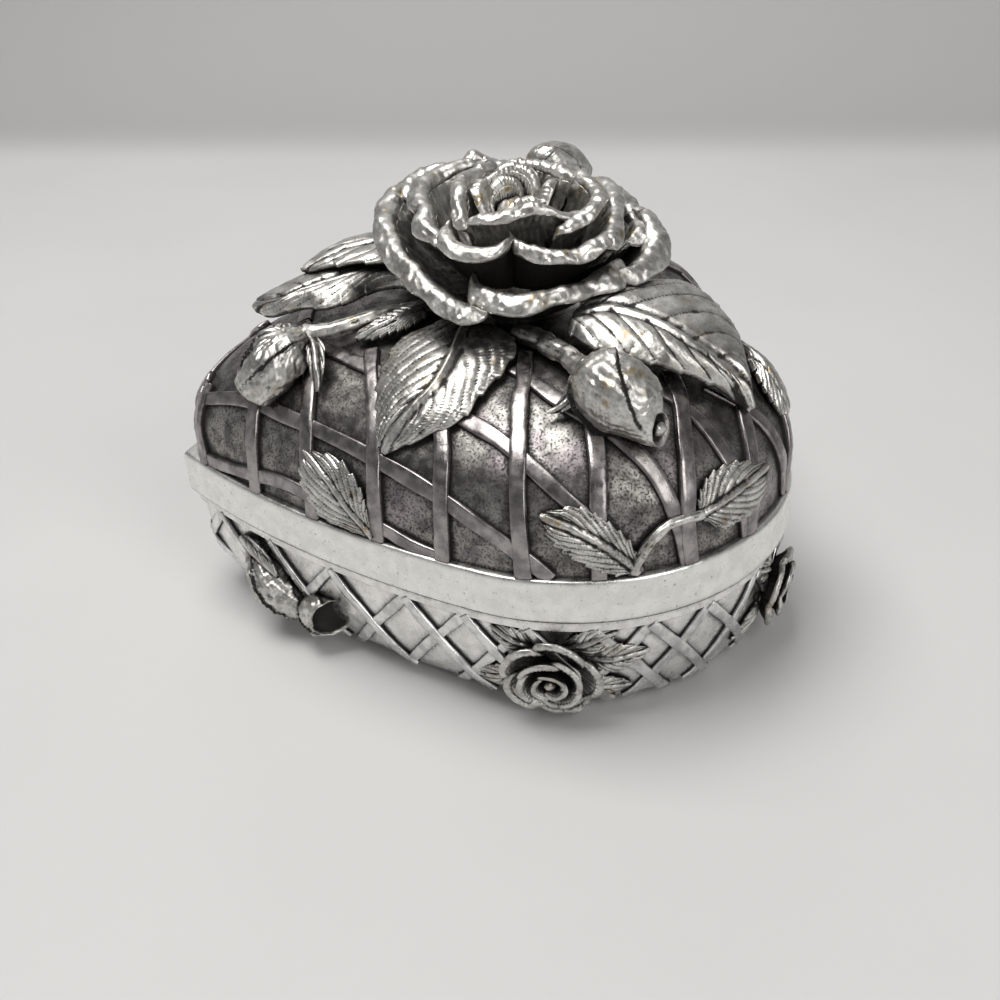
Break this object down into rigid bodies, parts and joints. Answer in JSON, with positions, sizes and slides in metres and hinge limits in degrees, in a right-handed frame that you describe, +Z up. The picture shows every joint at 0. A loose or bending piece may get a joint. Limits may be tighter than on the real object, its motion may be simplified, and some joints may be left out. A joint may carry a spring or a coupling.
{
  "type": "heart trinket box",
  "caption": "Heart-shaped cast keepsake box with a lift-off domed lid under a strip lattice, carrying a large open rose with leaves and buds, over a shallow lattice bowl",
  "frame": {"origin": "on the flat underside, on the line between the centres of the two lobes, midway between them", "axes": "+Z up, -Y towards the tip of the heart, +X towards the near side of the picture"},
  "size_m": [0.1391, 0.1239, 0.0926],
  "materials": {
    "antiqued_panel": "silver plating over a casting, darkened in the low parts, satin",
    "smooth_band": "smooth bright silver plating with small dark pits",
    "lattice_strip": "polished silver plating, dark at the edges",
    "ornament_silver": "bright hammered silver plating over a casting, dark antiquing in the creases",
    "lining_cloth": "short-pile velvet, dark red",
    "pad_cloth": "thin black felt"
  },
  "bodies": {
    "base": {"base_bud_far": "ornament_silver", "base_bud_near": "ornament_silver", "base_lattice": "lattice_strip", "base_leaves_far_lobe": "ornament_silver", "base_leaves_far_side": "ornament_silver", "base_leaves_near_lobe": "ornament_silver", "base_leaves_near_side": "ornament_silver", "base_lining": "lining_cloth", "base_pad": "pad_cloth", "base_rose_far_lobe": "ornament_silver", "base_rose_far_side": "ornament_silver", "base_rose_near_lobe": "ornament_silver", "base_rose_near_side": "ornament_silver", "base_shell": "antiqued_panel"},
    "lid": {"bud_back": "ornament_silver", "bud_front_left": "ornament_silver", "bud_front_right": "ornament_silver", "leaf_back": "ornament_silver", "leaf_back_right": "ornament_silver", "leaf_far_right": "ornament_silver", "leaf_front": "ornament_silver", "leaf_left": "ornament_silver", "leaf_left_under": "ornament_silver", "leaf_right": "ornament_silver", "leaf_small_left": "ornament_silver", "lid_band": "smooth_band", "lid_lattice": "lattice_strip", "lid_lining": "lining_cloth", "lid_shell": "antiqued_panel", "rose_calyx": "ornament_silver", "rose_heart": "ornament_silver", "rose_inner_petal_1": "ornament_silver", "rose_inner_petal_2": "ornament_silver", "rose_inner_petal_3": "ornament_silver", "rose_inner_petal_4": "ornament_silver", "rose_middle_petal_1": "ornament_silver", "rose_middle_petal_2": "ornament_silver", "rose_middle_petal_3": "ornament_silver", "rose_middle_petal_4": "ornament_silver", "rose_middle_petal_5": "ornament_silver", "rose_outer_petal_1": "ornament_silver", "rose_outer_petal_2": "ornament_silver", "rose_outer_petal_3": "ornament_silver", "rose_outer_petal_4": "ornament_silver", "rose_outer_petal_5": "ornament_silver", "rose_outer_petal_6": "ornament_silver", "sprig_far_lobe": "ornament_silver", "sprig_far_tip": "ornament_silver", "sprig_near_lobe": "ornament_silver", "sprig_near_tip": "ornament_silver"}
  },
  "joints": [
    {"name": "lid_lift", "type": "slide", "parent": "base", "child": "lid", "axis": [0, 0, 1], "range_m": [0, 0.09]}
  ]
}
